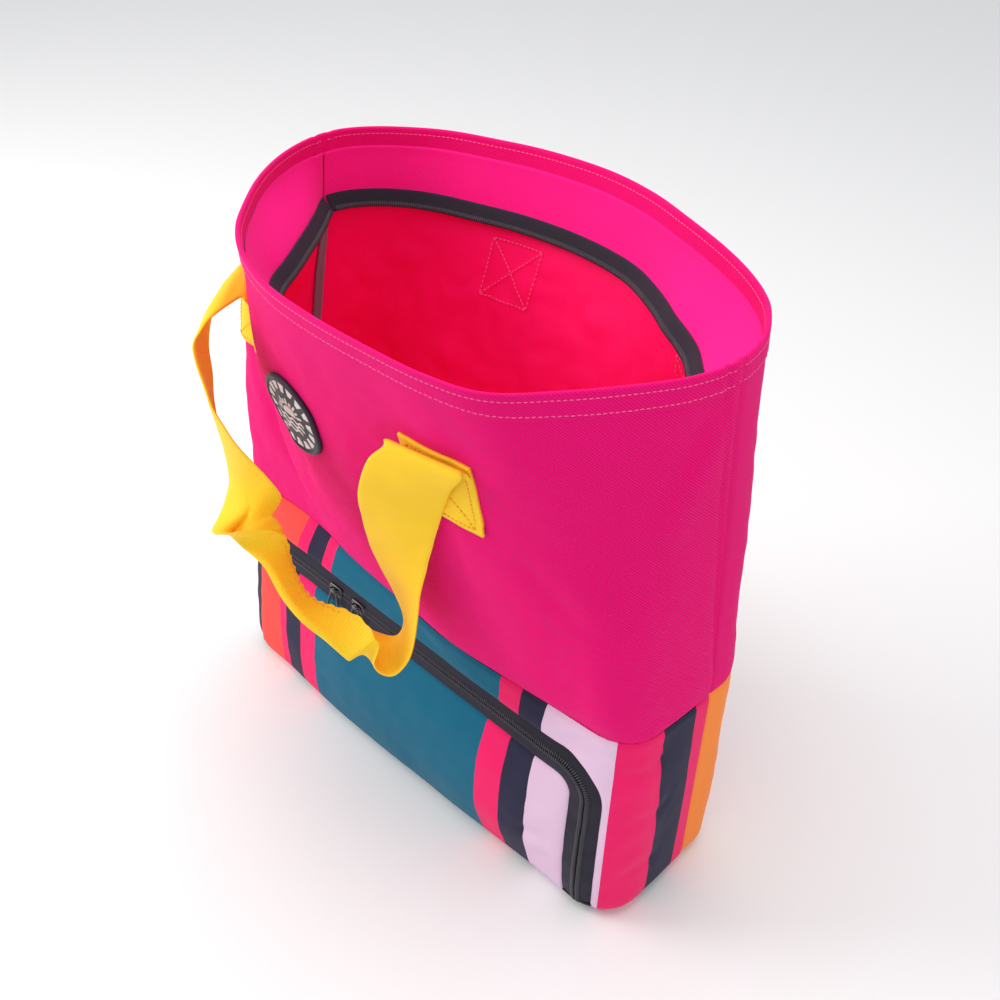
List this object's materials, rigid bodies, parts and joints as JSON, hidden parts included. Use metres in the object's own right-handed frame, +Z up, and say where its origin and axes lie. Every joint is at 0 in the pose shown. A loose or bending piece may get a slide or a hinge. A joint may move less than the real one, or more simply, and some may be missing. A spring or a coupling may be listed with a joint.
{
  "type": "beach bag",
  "caption": "Open-topped tote with twisted webbing handles over a zipped, insulated lower compartment with vertical stripes.",
  "frame": {"origin": "on the underside of the base, below the middle of its right three-quarters; the height datum is the surface the bag stands on", "axes": "+Z up, +X to the bag's right seen from the badge side, -Y out of the badge side"},
  "size_m": [0.506, 0.4216, 0.5404],
  "materials": {
    "pink_canvas": "woven polyester canvas, matte with a slight sheen",
    "pink_facing": "the same canvas turned inside the rim",
    "red_lining": "thin plain-woven lining, soft sheen",
    "tote_floor_lining": "thin plain-woven lining over a board",
    "zip_tape": "woven zip tape",
    "zip_coil": "moulded nylon coil",
    "grey_binding": "ribbed binding tape",
    "slider_metal": "black lacquer",
    "badge_rubber": "moulded soft rubber, matte",
    "badge_print": "raised white rubber",
    "yellow_webbing": "65 mm herringbone webbing",
    "divider_board": "stiff sheet between the two compartments",
    "foam": "closed-cell insulating foam",
    "base_cloth": "coated cloth",
    "striped_canvas": "printed vertical stripes: red-orange, pink, navy, teal, lilac, orange",
    "cooler_lining": "silver-white coated film",
    "zip_end_tab": "folded cloth tab"
  },
  "bodies": {
    "bag": {"badge_base": "badge_rubber", "badge_relief": "badge_print", "cooler_back_foam": "foam", "cooler_back_panel": "striped_canvas", "cooler_base_foam": "foam", "cooler_base_panel": "base_cloth", "cooler_front_panel": "striped_canvas", "cooler_header_foam": "foam", "cooler_liner": "cooler_lining", "cooler_rear_corner_foam_left": "foam", "cooler_rear_corner_foam_right": "foam", "cooler_side_foam_left": "foam", "cooler_side_foam_right": "foam", "cooler_zip_coil_frame": "zip_coil", "cooler_zip_end_left": "zip_end_tab", "cooler_zip_end_right": "zip_end_tab", "cooler_zip_tape_frame": "zip_tape", "divider_board": "divider_board", "divider_foam": "foam", "handle_back_anchor_left": "yellow_webbing", "handle_back_anchor_right": "yellow_webbing", "handle_front_anchor_left": "yellow_webbing", "handle_front_anchor_right": "yellow_webbing", "lining_seam_binding_left": "grey_binding", "lining_seam_binding_right": "grey_binding", "top_zip_coil_back": "zip_coil", "top_zip_coil_front": "zip_coil", "top_zip_slider": "slider_metal", "top_zip_tape_back": "zip_tape", "top_zip_tape_front": "zip_tape", "tote_back_facing": "pink_facing", "tote_back_lining": "red_lining", "tote_back_panel": "pink_canvas", "tote_floor": "tote_floor_lining", "tote_front_facing": "pink_facing", "tote_front_lining": "red_lining", "tote_front_panel": "pink_canvas"},
    "flap": {"cooler_flap": "striped_canvas", "flap_foam": "foam", "flap_liner": "cooler_lining", "cooler_zip_tape_flap": "zip_tape", "cooler_zip_coil_flap": "zip_coil"},
    "slider_left": {"cooler_slider_left": "slider_metal"},
    "slider_right": {"cooler_slider_right": "slider_metal"},
    "puller_left": {"cooler_puller_left": "slider_metal"},
    "puller_right": {"cooler_puller_right": "slider_metal"},
    "top_puller": {"top_zip_puller": "slider_metal"},
    "front_handle": {"handle_front_strap_right": "yellow_webbing", "handle_front_grip": "yellow_webbing", "handle_front_strap_left": "yellow_webbing"},
    "back_handle": {"handle_back_strap_left": "yellow_webbing", "handle_back_grip": "yellow_webbing", "handle_back_strap_right": "yellow_webbing"}
  },
  "joints": [
    {"name": "cooler_flap_hinge", "type": "hinge", "parent": "bag", "child": "flap", "pos_m": [0, -0.079, 0.0085], "axis": [1, 0, 0], "range_deg": [0, 80]},
    {"name": "cooler_slider_left_slide", "type": "slide", "parent": "bag", "child": "slider_left", "axis": [1, 0, 0], "range_m": [-0.09, 0]},
    {"name": "cooler_slider_right_slide", "type": "slide", "parent": "bag", "child": "slider_right", "axis": [1, 0, 0], "range_m": [0, 0.22]},
    {"name": "puller_left_swing", "type": "hinge", "parent": "slider_left", "child": "puller_left", "pos_m": [-0.098, -0.0886, 0.174], "axis": [1, 0, 0], "range_deg": [-150, 0]},
    {"name": "puller_right_swing", "type": "hinge", "parent": "slider_right", "child": "puller_right", "pos_m": [-0.0665, -0.0886, 0.174], "axis": [1, 0, 0], "range_deg": [-150, 0]},
    {"name": "top_puller_swing", "type": "hinge", "parent": "bag", "child": "top_puller", "pos_m": [0.21985, -0.00648, 0.4657], "axis": [0, 1, 0], "range_deg": [0, 85]},
    {"name": "handle_front_swing", "type": "hinge", "parent": "bag", "child": "front_handle", "pos_m": [0, -0.168, 0.488], "axis": [1, 0, 0], "range_deg": [-150, 0]},
    {"name": "handle_back_swing", "type": "hinge", "parent": "bag", "child": "back_handle", "pos_m": [0, 0.168, 0.488], "axis": [1, 0, 0], "range_deg": [0, 150]}
  ]
}
